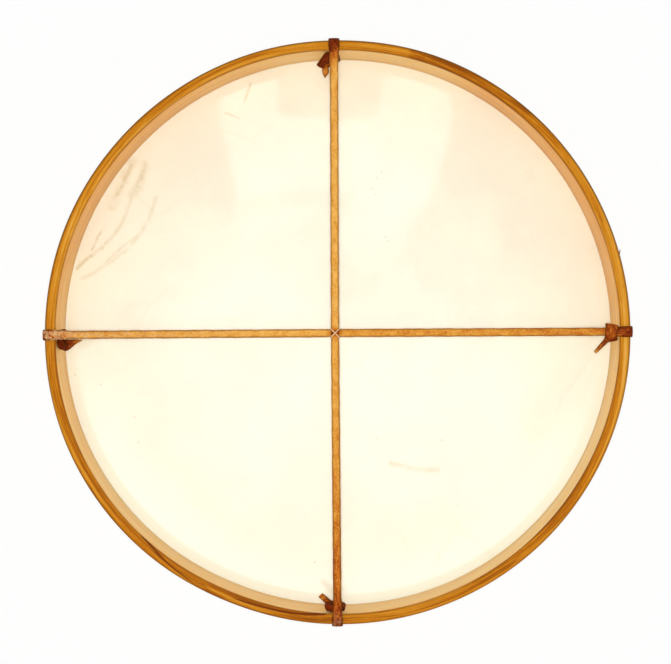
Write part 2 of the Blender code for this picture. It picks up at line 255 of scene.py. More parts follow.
def toneRamp(value, stops):
    ramp = addNode(value.tree, "ValToRGB", {"Fac": value})
    elements = ramp.socket.node.color_ramp.elements
    elements.remove(elements[1])
    elements[0].position = stops[0][0]
    elements[0].color = paint(*stops[0][1])
    for place, colour in stops[1:]:
        elements.new(place).color = paint(*colour)
    return ramp


def readLayer(tree, name, give="Fac"):
    return addNode(tree, "Attribute", give=give, attribute_name=name)


def stretched(vector, scale):
    return addNode(vector.tree, "Mapping", {"Vector": vector, "Scale": scale})


def mottle(vector, scale, detail=3.0, rough=0.55, give="Fac"):
    # three scales draw the noise out along an axis
    if isinstance(scale, tuple):
        vector, scale = stretched(vector, scale), 1.0
    sockets = {"Vector": vector, "Scale": scale, "Detail": detail, "Roughness": rough}
    return addNode(vector.tree, "TexNoise", sockets, give)


def raised(height, strength, depth):
    return addNode(height.tree, "Bump", {"Height": height, "Strength": strength, "Distance": depth})


# camera over the open back, a shade to one side of the middle
cameraPlace = {"overBackEdge": 1.61, "lens": 101.33, "stands": (0.0092, -0.0045), "aims": (-0.0018, 0.00027)}
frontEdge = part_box("hoop_strip")[0].z
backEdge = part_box("hoop_strip")[1].z
tiltX, tiltY = [math.atan2(b - a, cameraPlace["overBackEdge"])
                for a, b in zip(cameraPlace["stands"], cameraPlace["aims"])]
bpy.ops.object.camera_add(
    location=(*cameraPlace["stands"], backEdge + cameraPlace["overBackEdge"]), rotation=(tiltY, -tiltX, 0))
camera = namePiece("backView")
camera.data.lens = cameraPlace["lens"]
camera.data.sensor_width = 36.0
camera.data.dof.use_dof = False
bpy.context.scene.camera = camera
bpy.context.scene.view_settings.view_transform = "Standard"
print("camera stands over the drum")


def seenDirectly(tree):
    # by the camera, in a reflection or through glass
    seen, mirrored, through = [addNode(tree, "LightPath", give=f"Is {kind} Ray")
                               for kind in ("Camera", "Glossy", "Transmission")]
    return larger(larger(seen, mirrored), through)


# floor, which keeps a faint shadow round the drum
floorLook = {"size": 9.0, "below": 0.0003, "colour": (246, 246, 244), "roughness": 0.9, "shine": 0.1,
             "shadowKept": 0.16}
clearSelection()
bpy.ops.mesh.primitive_plane_add(size=floorLook["size"], location=(0, 0, -floorLook["below"]))
floor = namePiece("paleFloor")
floorFinish, tree, shader = newFinish("paleFloor")
fillSockets(shader, {"Base Color": paint(*floorLook["colour"]), "Roughness": floorLook["roughness"],
                     "Specular IOR Level": floorLook["shine"]})
glow = addNode(tree, "Emission", {"Color": (1, 1, 1, 1), "Strength": 1.0})
share = seenDirectly(tree) * (1 - floorLook["shadowKept"])
mixed = addNode(tree, "MixShader", {0: share, 1: wire(tree, shader.outputs[0]), 2: glow})
fillSockets(tree.nodes["Material Output"], {"Surface": mixed})
floor.data.materials.append(floorFinish)

# an even soft sky that is seen as white
skyLook = {"seen": 1.0, "horizon": 0.68, "zenith": 0.44, "fade": (0.05, 0.95)}
sky = bpy.data.worlds.new("studioSky")
sky.use_nodes = True
bpy.context.scene.world = sky
tree = sky.node_tree
height = axisOf(addNode(tree, "TexCoord", give="Generated"), "Z")
level = rescaled(height, skyLook["fade"], (skyLook["horizon"], skyLook["zenith"]))
strength = addNode(tree, "Mix", {0: seenDirectly(tree), 2: level, 3: skyLook["seen"]})
fillSockets(tree.nodes["Background"], {"Color": (1, 1, 1, 1), "Strength": strength})

# soft panels overhead: each outline is where its reflection falls on the hide
panelLook = {
    "height": 2.3, "strength": 2.7,
    "upper": [(-0.118, 0.241), (-0.113, 0.196), (-0.096, 0.131), (-0.088, 0.030), (0.020, 0.030),
              (0.056, 0.086), (0.083, 0.149), (0.095, 0.185), (0.099, 0.241), (0.035, 0.241),
              (0.033, 0.190), (-0.022, 0.193), (-0.060, 0.196), (-0.062, 0.241)],
    "upperFade": (0.030, 0.125),
    "lowerMiddle": (-0.030, -0.110), "lowerReach": (0.30, 0.235), "lowerFade": (0.55, 1.0),
}
panelScale = 1 + panelLook["height"] / (backEdge + cameraPlace["overBackEdge"])


def addPanelFinish(panel, fadeOf):
    finish, tree, shader = newFinish(panel.name)
    strength = fadeOf(addNode(tree, "TexCoord", give="Object")) * panelLook["strength"]
    glow = addNode(tree, "Emission", {"Color": (1, 1, 1, 1), "Strength": strength})
    added = addNode(tree, "AddShader", {0: glow, 1: addNode(tree, "BsdfTransparent")})
    tree.nodes.remove(shader)
    fillSockets(tree.nodes["Material Output"], {"Surface": added})
    panel.data.materials.append(finish)
    panel.visible_camera = False
    panel.visible_shadow = False


def fadeUpper(place):
    return stepBetween(axisOf(place, "Y"), *[panelScale * value for value in panelLook["upperFade"]])


def fadeLower(place):
    reach = [panelScale * value for value in panelLook["lowerReach"]]
    moved = addNode(place.tree, "Mapping", {"Vector": place, "Location": lowerPlace, "Scale": (*reach, 1.0)},
                    vector_type="TEXTURE")
    solid, clear = panelLook["lowerFade"]
    return stepBetween(vectorMath(moved, "LENGTH"), clear, solid)


outline = [(panelScale * x, panelScale * y, panelLook["height"]) for x, y in panelLook["upper"]]
upperPanel = drawLine("upperPanel", outline)
editAll()
bpy.ops.mesh.edge_face_add()
bpy.ops.object.mode_set(mode="OBJECT")
addPanelFinish(upperPanel, fadeUpper)

clearSelection()
lowerPlace = (*[panelScale * value for value in panelLook["lowerMiddle"]], panelLook["height"])
bpy.ops.mesh.primitive_circle_add(vertices=64, radius=panelScale, fill_type="NGON", location=lowerPlace)
lowerPanel = namePiece("lowerPanel")
lowerPanel.scale = (*panelLook["lowerReach"], 1)
applyPlace()
addPanelFinish(lowerPanel, fadeLower)

# a small lamp round the lens, whose shadows fall behind what casts them
keyLight = {"size": 0.12, "power": 11.6}
clearSelection()
bpy.ops.object.light_add(type="AREA", location=camera.location)
lamp = namePiece("lensLamp")
lamp.data.size = keyLight["size"]
lamp.data.energy = keyLight["power"]
lamp.visible_glossy = False
lamp.visible_camera = False
print("floor, sky and lamps are set")


# the bent hoop; angles are anticlockwise from +X, seen from the open back
hoopSizes = {
    "radius": 0.250, "wall": 0.0082, "lobe": 0.00075, "lobeAngle": 73.0, "oval": 0.00038, "ovalAngle": 12.0,
    "flats": [(0.0008, 248.0, 13.0), (0.0007, 88.0, 12.0), (0.0007, 180.0, 14.0)],
    # how much thicker the wall is than its usual size: everywhere, at both sides and at the bottom
    "wallSwing": (0.00076, 0.00015, 0.00022),
    "backOutside": 0.0025, "backInside": 0.0012, "frontRound": 0.0020, "frontRelief": 0.0006,
    # each scarf as (share of the wall from outside, angle), and how much of its seam shows inside
    "lowerScarf": [(0, 245.0), (0.50, 248.0), (0.62, 255.0), (0.70, 262.0), (0.90, 265.8), (1, 267.5)],
    "upperScarf": [(0, 244.2), (0.06, 243.2), (0.25, 239.6), (0.45, 235.4), (0.60, 232.8), (0.85, 229.2),
                   (1, 226.0)],
    "glueShows": [[(0, 0.35), (0.45, 0.4), (0.58, 1.1), (0.66, 1.5), (1, 1.3)],
                  [(0, 0.35), (0.15, 0.6), (0.40, 0.85), (0.70, 1.1), (1, 1.1)]],
    "seamInside": (0.0, 0.30), "glueGap": 0.015, "glueWidth": (0.0016, 0.0014), "scarfsBetween": (222, 272),
    "stripSteps": 540, "spliceSteps": 72, "columns": 16, "rowDrops": (0.0020, 0.0032, 0.0060),
    "holeSize": 0.0060, "holeDrop": 0.022, "grainSeam": 242.5, "smooth": 35,
}


def hoopSwell(angle):
    # how far the hand-bent hoop stands off a true circle
    swell = hoopSizes["lobe"] * np.cos(np.radians(3 * (angle - hoopSizes["lobeAngle"])))
    swell = swell + hoopSizes["oval"] * np.cos(np.radians(2 * (angle - hoopSizes["ovalAngle"])))
    for depth, middle, spread in hoopSizes["flats"]:
        away = (angle - middle + 180) % 360 - 180
        swell = swell - depth * np.exp(-(away / spread) ** 2)
    return swell


def wallSwing(angle):
    mean, sides, bottom = hoopSizes["wallSwing"]
    return mean + sides * np.cos(np.radians(2 * angle)) - bottom * np.sin(np.radians(angle))


def bendBar(name, first, last, steps):
    # first and last are the scarfs at the bar's two ends
    clearSelection()
    radius, wall = hoopSizes["radius"], hoopSizes["wall"]
    bpy.ops.mesh.primitive_plane_add(
        size=1, location=(radius - wall / 2, 0, (frontEdge + backEdge) / 2), rotation=(math.pi / 2, 0, 0))
    bar = namePiece(name)
    bar.scale = (wall, backEdge - frontEdge, 1)
    applyPlace()
    corners = [(radius, backEdge, "backOutside", 8), (radius - wall, backEdge, "backInside", 5),
               (radius, frontEdge, "frontRound", 6), (radius - wall, frontEdge, "frontRelief", 2)]
    for x, z, rounding, segments in corners:
        pickPoints(bar, lambda place: abs(place.x - x) + abs(place.z - z) < 1e-4)
        bpy.ops.mesh.bevel(offset_type="OFFSET", offset=hoopSizes[rounding], segments=segments,
                           profile=0.5, affect="VERTICES")
    # columns across the wall, so that a long scarf follows the bend, and rows under the back edge
    for drop in hoopSizes["rowDrops"]:
        selectAll()
        bpy.ops.mesh.bisect(plane_co=(0, 0, backEdge - drop), plane_no=(0, 0, 1))
    for share in np.linspace(0, 1, hoopSizes["columns"])[1:-1]:
        selectAll()
        bpy.ops.mesh.bisect(plane_co=(radius - share * wall, 0, 0), plane_no=(1, 0, 0))
    selectAll()
    length = last[0][1] - first[0][1]
    bpy.ops.mesh.spin(steps=steps, angle=math.radians(length), center=(0, 0, 0), axis=(0, 0, -1))
    turnOutward()
    # the ends are drawn out into their scarfs, and the bar follows the hoop's own outline
    places = meshPoints(bar)
    turned, away = polar(places)
    turned[turned > (length + 360) / 2] = 0
    depth = np.clip((radius - away) / wall, 0, 1)
    start, stop = readAt(depth, first), readAt(depth, last)
    angle = start + turned / length * (stop - start)
    swingTo(places, angle, away + hoopSwell(angle) - depth * wallSwing(angle))
    movePoints(bar, places)
    return bar


def cutLaceHole(bar, angle):
    middle = hoopSizes["radius"] + hoopSwell(angle) - hoopSizes["wall"] / 2
    turn = math.radians(angle)
    clearSelection()
    bpy.ops.mesh.primitive_cylinder_add(
        vertices=40, radius=hoopSizes["holeSize"] / 2, depth=3 * hoopSizes["wall"],
        location=(middle * math.cos(turn), middle * math.sin(turn), backEdge - hoopSizes["holeDrop"]),
        rotation=(0, math.pi / 2, turn))
    drill = namePiece("drill")
    applyModifier(bar, "BOOLEAN", operation="DIFFERENCE", solver="EXACT", object=drill)
    bpy.data.objects.remove(drill, do_unlink=True)


# tone along the back edge, by angle: below 0 is darker
woodTones = [(0, 0.12), (25, 0.08), (40, -0.06), (52, -0.20), (68, -0.32), (75.3, -0.22), (75.8, 0.02),
             (100, -0.04), (135, 0.08), (165, 0.06), (200, 0.02), (212, -0.10), (225, -0.06), (240, -0.10),
             (252, -0.20), (262, -0.10), (285, 0.02), (305, -0.10), (320, -0.10), (345, 0.06), (360, 0.12)]

# and along the inside of the wall, darker above; the lighter stretch from about 68 to 100 degrees is a
# painted reflection of the bright hide beside it
insideToneAndReflection = [(0, 0.0), (20, -0.25), (58, -0.25), (68, 0.25), (80, 0.20), (100, 0.20), (112, -0.05),
               (125, -0.30), (160, -0.22), (180, 0.08), (215, 0.26), (260, 0.22), (300, 0.30), (335, 0.34),
               (360, 0.08)]

# two bands across the back edge on the right, and how strong the painted shade on the outer arris is: most on
# the upper half
woodBands = [(0, 0.12), (30, 0.10), (62, 0.05), (80, 0.0), (280, 0.0), (300, 0.10), (345, 0.13), (360, 0.12)]
outerArrisShadeByAngle = [(0, 0.75), (25, 1.0), (90, 0.9), (155, 1.0), (185, 0.75), (215, 0.40), (300, 0.35), (360, 0.75)]


def storeGrain(bar):
    # run along the bar, depth from the outside face and height; then how near a scarf is
    radius, wall = hoopSizes["radius"], hoopSizes["wall"]
    places = meshPoints(bar)
    angle, away = polar(places)
    depth = (radius - away + hoopSwell(angle)) / (1 + wallSwing(angle) / wall)
    share = np.clip(depth / wall, 0, 1)
    spot = np.stack([np.radians(angle) * radius, share * wall], axis=1)
    belowBack = backEdge - places[:, 2]
    backDrop, wallDrop = hoopSizes["rowDrops"][:2]
    onBack = np.clip((wallDrop - belowBack) / (wallDrop - backDrop), 0, 1)
    glue = np.zeros(len(places))
    low, high = hoopSizes["scarfsBetween"]
    near = np.flatnonzero((angle > low) & (angle < high))
    shares = np.linspace(0, 1, 1200)
    scarfs = (hoopSizes["lowerScarf"], hoopSizes["upperScarf"])
    seams = zip(scarfs, hoopSizes["glueShows"], hoopSizes["seamInside"], hoopSizes["glueWidth"])
    for scarf, shows, inside, width in seams:
        line = np.stack([np.radians(readAt(shares, scarf)) * radius, shares * wall], axis=1)
        for k in near:
            gap = np.min(np.linalg.norm(spot[k] - line, axis=1))
            shown = readAt(share[k], shows) * (onBack[k] + (1 - onBack[k]) * inside)
            glue[k] = max(glue[k], max(0, 1 - gap / width) * shown)
    unrolled = np.radians((angle - hoopSizes["grainSeam"]) % 360) * radius
    storeValues(bar, "woodRun", np.stack([unrolled, depth, places[:, 2]], axis=1))
    storeValues(bar, "glueNear", glue)
    # the bands are paler outside and darker inside
    band = readAt(angle, woodBands) * np.tanh((0.45 - share) * 6)
    # the inside wall's tone holds a painted reflection of the bright hide
    onWall = (share > 0.98) & (belowBack > 0.0018)
    tone = np.where(onWall, readAt(angle, insideToneAndReflection), readAt(angle, woodTones) + band)
    storeValues(bar, "woodTone", tone)
    storeValues(bar, "outerArrisShadeByAngle", readAt(angle, outerArrisShadeByAngle))


woodLook = {
    "honey": [(0.0, (132, 66, 2)), (0.30, (174, 98, 6)), (0.50, (200, 126, 20)), (0.72, (212, 144, 40)),
              (1.0, (228, 170, 76))],
    "inside": [(0.0, (236, 156, 44)), (0.35, (246, 180, 68)), (0.65, (252, 198, 98)), (1.0, (254, 216, 140))],
    "arris": (138, 74, 4), "outerArrisShadeColour": (108, 66, 4), "glue": (104, 40, 0),
    "roughness": (0.34, 0.52), "insideRoughness": (0.30, 0.42), "relief": (0.35, 0.00012),
    "shine": 0.08,      # low, or the smooth inside mirrors the hide when seen along it
    # noise, drawn out along the grain
    "wander": (5.0, 20.0, 9.0), "wanderReach": 0.011, "streaks": (7.0, 420.0, 300.0),
    "fibres": (70.0, 3200.0, 2400.0), "flecks": (160.0, 1500.0, 1500.0), "patches": (18.0, 60.0, 60.0),
    "ragged": (60.0, 300.0, 120.0), "contrast": 1.9, "level": -0.45,
    # fades from and to: in from the outside, down from the back edge, or up from the front edge
    "outsideFade": (0.0062, 0.0042), "backFade": (0.0034, 0.0018), "footShadeFade": (0.018, 0.005),
    "innerArrisDarkening": ((0.0062, 0.0078), (0.0036, 0.0024)), "outerArrisShade": ((0.0022, 0.0008), (0.0060, 0.0040)),
    # how strongly each shows
    "innerShare": 0.5, "outerShare": 0.85, "footShadeShare": 0.13, "poreShare": 0.35, "glueShare": 0.92,
}


def makeWood(name, darker):
    look = woodLook
    finish, tree, shader = newFinish(name)
    run = readLayer(tree, "woodRun", "Vector")
    length, depth, height = [axisOf(run, axis) for axis in "XYZ"]
    # the grain wanders slowly through the thickness of the strip
    wander = (mottle(run, look["wander"], 2.0) - 0.5) * look["wanderReach"]
    drifted = addNode(tree, "CombineXYZ", {0: length, 1: depth + wander, 2: height + wander})
    streaks = mottle(drifted, look["streaks"], 4.0, 0.6)
    fibres = mottle(drifted, look["fibres"], 3.0, 0.7)
    tone = streaks * look["contrast"] + (look["level"] - darker) + (fibres - 0.5)
    tone = tone + readLayer(tree, "woodTone")

    def belowBack(drops):
        return stepBetween(height, *[backEdge - drop for drop in drops])

    # honey brown on the back edge and outside, lighter inside
    oiled = larger(belowBack(look["backFade"]), stepBetween(depth, *look["outsideFade"]))
    colour = mixColour(oiled, toneRamp(tone, look["inside"]), toneRamp(tone, look["honey"]))
    # the inner arris of the back edge is darker in patches, and painted shade darkens its outer arris, most
    # on the upper half
    inner, outer = [stepBetween(depth, *depths) * belowBack(drops)
                    for depths, drops in (look["innerArrisDarkening"], look["outerArrisShade"])]
    inner = inner * stepBetween(mottle(run, look["patches"]), 0.22, 0.56)
    outer = outer * readLayer(tree, "outerArrisShadeByAngle")
    # and painted shade at the foot of the wall, in the corner where it meets the hide
    foot = stepBetween(height, *[frontEdge + rise for rise in look["footShadeFade"]]) - oiled
    pores = stepBetween(mottle(drifted, look["flecks"], 1.0), 0.66, 0.78)
    # glue squeezed along the scarfs
    gluey = stepBetween(readLayer(tree, "glueNear") - mottle(run, look["ragged"]) * 0.4, 0.12, 0.62)
    colour = paintOver(colour, look, [
        (inner * look["innerShare"], "arris"), (outer * look["outerShare"], "outerArrisShadeColour"),
        (larger(foot, 0.0) * look["footShadeShare"], "arris"), (pores * look["poreShare"], "arris"),
        (gluey * look["glueShare"], "glue")])
    sheens = [rescaled(fibres, (0.3, 0.7), look[key]) for key in ("insideRoughness", "roughness")]
    fillSockets(shader, {
        "Base Color": colour, "Roughness": addNode(tree, "Mix", {0: oiled, 2: sheens[0], 3: sheens[1]}),
        "Specular IOR Level": look["shine"],
        "Normal": raised(fibres + streaks * 0.6 - pores, *look["relief"]),
    })
    return finish


lowerScarf, upperScarf = hoopSizes["lowerScarf"], hoopSizes["upperScarf"]
hoopStrip = bendBar("bentHoopStrip", [(share, angle + hoopSizes["glueGap"]) for share, angle in lowerScarf],
                    [(share, angle + 360 - hoopSizes["glueGap"]) for share, angle in upperScarf],
                    hoopSizes["stripSteps"])
laceAngles = {"top": 90.73, "left": 180.54, "bottom": 269.97, "right": 360.14}
for angle in laceAngles.values():
    cutLaceHole(hoopStrip, angle)
hoopSplice = bendBar("letInSplice", upperScarf, lowerScarf, hoopSizes["spliceSteps"])

# a sliver of wood stands off the outer edge
sliver = {"angle": 15.4, "drop": 0.0040, "root": 0.0017, "tip": 0.0002, "length": 0.0054, "lean": 31.0,
          "sunk": 0.0006}
clearSelection()
turn = math.radians(sliver["angle"])
lean = turn + math.radians(90 - sliver["lean"])
rootAway, half = hoopSizes["radius"] + hoopSwell(sliver["angle"]) - sliver["sunk"], sliver["length"] / 2
bpy.ops.mesh.primitive_cone_add(
    vertices=7, radius1=sliver["root"] / 2, radius2=sliver["tip"] / 2, depth=sliver["length"],
    location=(rootAway * math.cos(turn) + half * math.cos(lean),
              rootAway * math.sin(turn) + half * math.sin(lean), backEdge - sliver["drop"]),
    rotation=(0, math.pi / 2, lean))
pickPiece(hoopStrip, namePiece("sliver"))
bpy.ops.object.join()
for bar, finishName, darker, node, slotName in (
        (hoopStrip, "oiledAsh", 0.0, "hoop_strip", "bent_ash"),
        (hoopSplice, "oiledSplice", 0.05, "hoop_splice", "splice_ash")):
    storeGrain(bar)
    smoothFaces(bar, hoopSizes["smooth"])
    putOnDrum(bar, makeWood(finishName, darker), node)
print("hoop is bent and closed with its splice")


# the rawhide head, lying on its playing face
hideSizes = {
    "thickness": 0.0010, "fit": 0.0003, "skirtTop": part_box("drum_head")[1].z, "rings": 56, "bendSteps": 8,
    "skirtSteps": 14, "turnSteps": 360, "smooth": 40,
    "flat": 0.563,      # the disc was cut this wide before it was drawn over the hoop
    # slow unevenness of a skin dried under tension: waves each way and phase, fading out at the edge
    "swell": 0.00010, "swellFrom": 0.004, "swellFades": 0.03,
    "swellWaves": [(31, 12, 0.4), (-17, 29, 1.9), (9, -38, 3.1), (44, 25, 5.0), (-40, 33, 2.2)],
    # ripples round the skirt: count, phase and size
    "pucker": 0.00030, "puckers": [(29, 0.3, 0.5), (47, 1.1, 0.35), (71, 2.7, 0.3), (13, 4.0, 0.4)],
    "trim": 0.0009, "trims": [(5, 0.2, 0.4), (11, 2.0, 0.35), (23, 4.4, 0.3), (61, 1.0, 0.12)],
}


def ripples(angle, waves):
    return sum(np.sin(count * np.radians(angle) + phase) * size for count, phase, size in waves)


def swellOver(places):
    waves = [np.sin(alongX * places[:, 0] + alongY * places[:, 1] + phase) / (1 + 0.3 * k)
             for k, (alongX, alongY, phase) in enumerate(hideSizes["swellWaves"])]
    return sum(waves) / 3


def stretchHide():
    sizes, radius = hideSizes, hoopSizes["radius"]
    flatEnd = radius - hoopSizes["frontRound"]
    bend = hoopSizes["frontRound"] + sizes["fit"] + sizes["thickness"]
    line = [(share * flatEnd, 0, 0) for share in np.linspace(0, 1, sizes["rings"])]
    for turn in np.radians(np.linspace(-90, 0, sizes["bendSteps"] + 1)[1:]):
        line.append((flatEnd + bend * math.cos(turn), 0, bend + bend * math.sin(turn)))
    for height in np.linspace(bend, sizes["skirtTop"], sizes["skirtSteps"] + 1)[1:]:
        line.append((flatEnd + bend, 0, height))
    hide = drawLine("rawhideHead", line)
    editAll()
    bpy.ops.mesh.spin(steps=sizes["turnSteps"], angle=2 * math.pi, center=(0, 0, 0), axis=(0, 0, -1))
    selectAll()
    bpy.ops.mesh.remove_doubles(threshold=1e-5)
    turnOutward()
    places = meshPoints(hide)
    angle, away = polar(places)
    up = np.clip((places[:, 2] - bend) / (sizes["skirtTop"] - bend), 0, 1)
    inside = np.clip((radius - sizes["swellFrom"] - away) / sizes["swellFades"], 0, 1)
    pucker = np.maximum(ripples(angle, sizes["puckers"]), -0.2) * up ** 2
    away = away + hoopSwell(angle) * away / radius + sizes["pucker"] * pucker
    places[:, 2] += sizes["trim"] * (ripples(angle, sizes["trims"]) - 1) * up
    places[:, 2] += sizes["swell"] * (1 + swellOver(places)) * inside * (3 - 2 * inside) * inside
    swingTo(places, angle, away)
    movePoints(hide, places)
    applyModifier(hide, "SOLIDIFY", thickness=sizes["thickness"], offset=-1.0, use_even_offset=True)
    return hide


hideLook = {
    "cream": (253, 249, 225), "beige": (245, 239, 216), "mark": (198, 188, 146), "stretch": (180, 157, 66),
    "spot": (206, 178, 142), "rimPaintedLight": (248, 253, 240), "rimFade": (0.185, 0.238), "skirt": (240, 226, 194),
    "skirtFade": (0.0014, 0.005), "lowerHalf": (0.06, -0.10), "rimAbove": 0.15,
    "roughness": 0.42, "shine": 0.2, "coat": 0.9, "coatRoughness": 0.04, "relief": (0.12, 0.0001),
    "veinShare": 0.07, "spotShare": 0.5, "grainShare": 0.10, "tremble": 0.004, "veinWander": 0.020,
    # in millimetres: marks left by stretching and by veins, as points on the hide, width and strength
    "marks": [
        ([(-182, 151), (-188, 138), (-195, 122), (-200, 111)], 4.6, 0.22),
        ([(-183, 148), (-187, 139), (-195, 122)], 2.5, 0.42),
        ([(-171, 148), (-174, 139), (-177, 129), (-182, 123)], 4.4, 0.24),
        ([(-171, 147), (-174, 139), (-178, 130)], 2.7, 0.46),
        ([(-182, 123), (-188, 104), (-193, 94), (-199, 86), (-206, 77), (-222, 65),
          (-231, 58)], 1.8, 0.25),
        ([(-161, 119), (-164, 109), (-169, 97), (-175, 88), (-183, 78), (-190, 71), (-199, 64),
          (-216, 53), (-226, 48)], 1.9, 0.2),
        ([(-178, 85), (-184, 81), (-189, 77), (-207, 61)], 1.5, 0.25),
        ([(-207, 94), (-211, 87), (-218, 73)], 1.3, 0.4),
        ([(-205, 80), (-208, 74)], 1.2, 0.42),
        ([(-218, 68), (-224, 64), (-231, 57)], 1.8, 0.44),
        ([(-78, 220), (-83, 203)], 1.2, 0.35),
        ([(-100, 194), (-88, 190)], 1.2, 0.3),
        ([(47, -115), (64, -120), (88, -122)], 2.6, 0.28),
    ],
    "spots": [(39, 142), (35, 137), (29, 127), (33, 122), (42, 85), (45, 81), (-233, -37), (-210, -46),
              (-180, -75), (-176, -97), (-21, -203), (34, -93), (92, -95), (106, -153)],
    "spotSize": (1.3, 0.2),
}


def distanceToLine(place, here, there):
    here, there = [np.array([*point, 0.0]) / 1000 for point in (here, there)]
    way = there - here
    fromHere = vectorMath(place, "SUBTRACT", tuple(here))
    reach = vectorMath(fromHere, "DOT_PRODUCT", tuple(way / way.dot(way)))
    share = addNode(place.tree, "Clamp", {"Value": reach})
    foot = addNode(place.tree, "VectorMath", {0: tuple(way), "Scale": share}, operation="SCALE")
    return vectorMath(fromHere, "DISTANCE", foot)


def makeRawhide():
    look = hideLook
    finish, tree, shader = newFinish("driedRawhide")
    place = addNode(tree, "TexCoord", give="Object")
    flat = stretched(place, (1.0, 1.0, 0.0))
    cloud = mottle(place, 9.0, 4.0, 0.6)
    grain = mottle(place, 260.0, 4.0, 0.6)
    colour = mixColour(stepBetween(cloud, 0.34, 0.66), look["beige"], look["cream"])
    # painted light: paler near the hoop wall, most of all below, lifting the shade that the wall casts on the
    # hide
    lower = rescaled(axisOf(place, "Y"), look["lowerHalf"], (look["rimAbove"], 1.0))
    rimLightShare = stepBetween(vectorMath(flat, "LENGTH"), *look["rimFade"]) * lower
    onSkirt = stepBetween(axisOf(place, "Z"), *look["skirtFade"])
    # faint veins
    warp = vectorMath(mottle(place, 24.0, 3.0, 0.5, "Color"), "SCALE", look["veinWander"])
    sockets = {"Vector": vectorMath(place, "ADD", warp), "Scale": 13.0}
    cells = addNode(tree, "TexVoronoi", sockets, "Distance", feature="DISTANCE_TO_EDGE")
    veins = stepBetween(cells, 0.035, 0.0) * stepBetween(mottle(place, 14.0, 2.0), 0.50, 0.66)
    # stretch marks and spots
    tremble = vectorMath(mottle(flat, 60.0, 3.0, 0.5, "Color"), "SUBTRACT", (0.5, 0.5, 0.5))
    shaky = stretched(vectorMath(flat, "ADD", vectorMath(tremble, "SCALE", look["tremble"])), (1, 1, 0))
    marked = 0.0
    for line, width, strength in look["marks"]:
        nearest, *others = [distanceToLine(shaky, here, there) for here, there in zip(line, line[1:])]
        for other in others:
            nearest = nearest.reckon("MINIMUM", other)
        marked = larger(stepBetween(nearest, 0.0016 * width, 0.0001 * width) * strength, marked)
    marked = marked * stepBetween(mottle(flat, 90.0), 0.20, 0.62)
    spotted = 0.0
    for x, y in look["spots"]:
        away = vectorMath(shaky, "DISTANCE", (x / 1000, y / 1000, 0)) * 1000
        spotted = larger(stepBetween(away, *look["spotSize"]), spotted)
    colour = paintOver(colour, look, [
        (rimLightShare, "rimPaintedLight"), (onSkirt, "skirt"), (veins * look["veinShare"], "mark"), (marked, "stretch"),
        (spotted * look["spotShare"], "spot"), (stepBetween(grain, 0.58, 0.75) * look["grainShare"], "mark")])
    fillSockets(shader, {
        "Base Color": colour, "Roughness": look["roughness"], "Specular IOR Level": look["shine"],
        "Coat Weight": look["coat"], "Coat Roughness": look["coatRoughness"],
        "Normal": raised(grain + marked * -0.8, *look["relief"]),
    })
    return finish


hide = stretchHide()
smoothFaces(hide, hideSizes["smooth"])
putOnDrum(hide, makeRawhide(), "drum_head")
print("hide is stretched")


# the leather laces of the grip
laceSizes = {
    "width": 0.0072, "thickness": 0.0024, "edgeWidth": 0.0086, "rimWidth": 0.0096, "rimThickness": 0.0017,
    "gatheredWidth": 0.0044, "gatheredThickness": 0.0030, "flattensOver": 0.016, "gathersOver": 0.009,
    "holeBend": 0.0030, "knotDrop": 0.0125, "knotTube": 0.0025, "knotRing": 2.15, "knotEntry": 14.0,
    "knotExit": 30.0, "knotTurn": -112.0, "knotStandsOff": 0.0056, "knotReach": 1.2, "knotWidth": 0.0060,
    "knotSwell": 0.0008, "knotThickness": 0.0018, "tailThickness": 0.0017,
    "crossing": (-0.0022, -0.00065), "pinch": 0.10, "pinchReach": 0.0045, "fit": 0.0003,
    # a hand-cut strip is never quite even: size, rate and phase of its waves
    "uneven": [(0.022, 210, 0.4), (0.018, 517, 1.3)],
    "fullness": 2.7,    # 2 is an oval section, more is squarer
    "step": 0.0009, "spanSteps": 110, "corners": 18, "smooth": 50,
}
holeSteps = 7     # places on the bend into a hole
laceLevel = backEdge + laceSizes["fit"] + laceSizes["rimThickness"] / 2
stepOver = (laceSizes["thickness"] + laceSizes["fit"]) / 2

# A tail is a row of places and then of half widths across the strip, both in millimetres:
# in from the wall, along the hoop and below the back edge.
# Tones and wear run from the crossing to the tip: tone 0 is golden, 1 is dark brown. The dark first tone is
# painted shade, in the hollow where the laces cross under the thread.
topEnd = {
    "angle": laceAngles["top"], "knotOffset": 0.0016, "knotScale": 0.72, "hand": -1,
    "tail": [(8, 1.8, 18, -1.6, 1.5, 0.4), (10.4, 5.4, 16.6, -1.4, 2, 0.2),
             (13.4, 7.4, 15.4, -0.4, 2.5, 0), (16.8, 7.6, 14.8, -0.4, 3.1, 0),
             (21.9, 8.2, 14.2, 0, 0.4, 0)],
    "tones": [0.80, 0.10, 0.10, 0.14, 0.50, 0.82, 0.90, 1.0, 1.0, 0.95, 0.30, 0.44],
}
leftEnd = {
    "angle": laceAngles["left"], "knotOffset": 0.0039, "hand": -1,
    "tail": [(7, 3, 17.6, 2.3, -0.9, 0), (5.6, 8.2, 16.4, 2.9, -0.4, 0), (5.6, 12, 15.2, 1.7, 0.7, 0),
             (6.2, 12.8, 14, 1.4, 0.7, 0), (7.2, 11.6, 12.8, 2.2, 1.9, 0), (10, 8.5, 12.4, 2.1, 3.3, 0),
             (15.4, 6.1, 12.2, 1.1, 2.2, 0), (22.2, 4.6, 12, 0.2, 0.4, 0)],
    "tones": [0.70, 0.12, 0.16, 0.26, 0.54, 0.62, 0.72, 0.80, 1.0, 1.0, 0.74, 0.22],
    "wear": [0, 0, 0.15, 0.45, 0.80, 0.8, 0.5, 0.3, 0, 0, 0, 0],
}
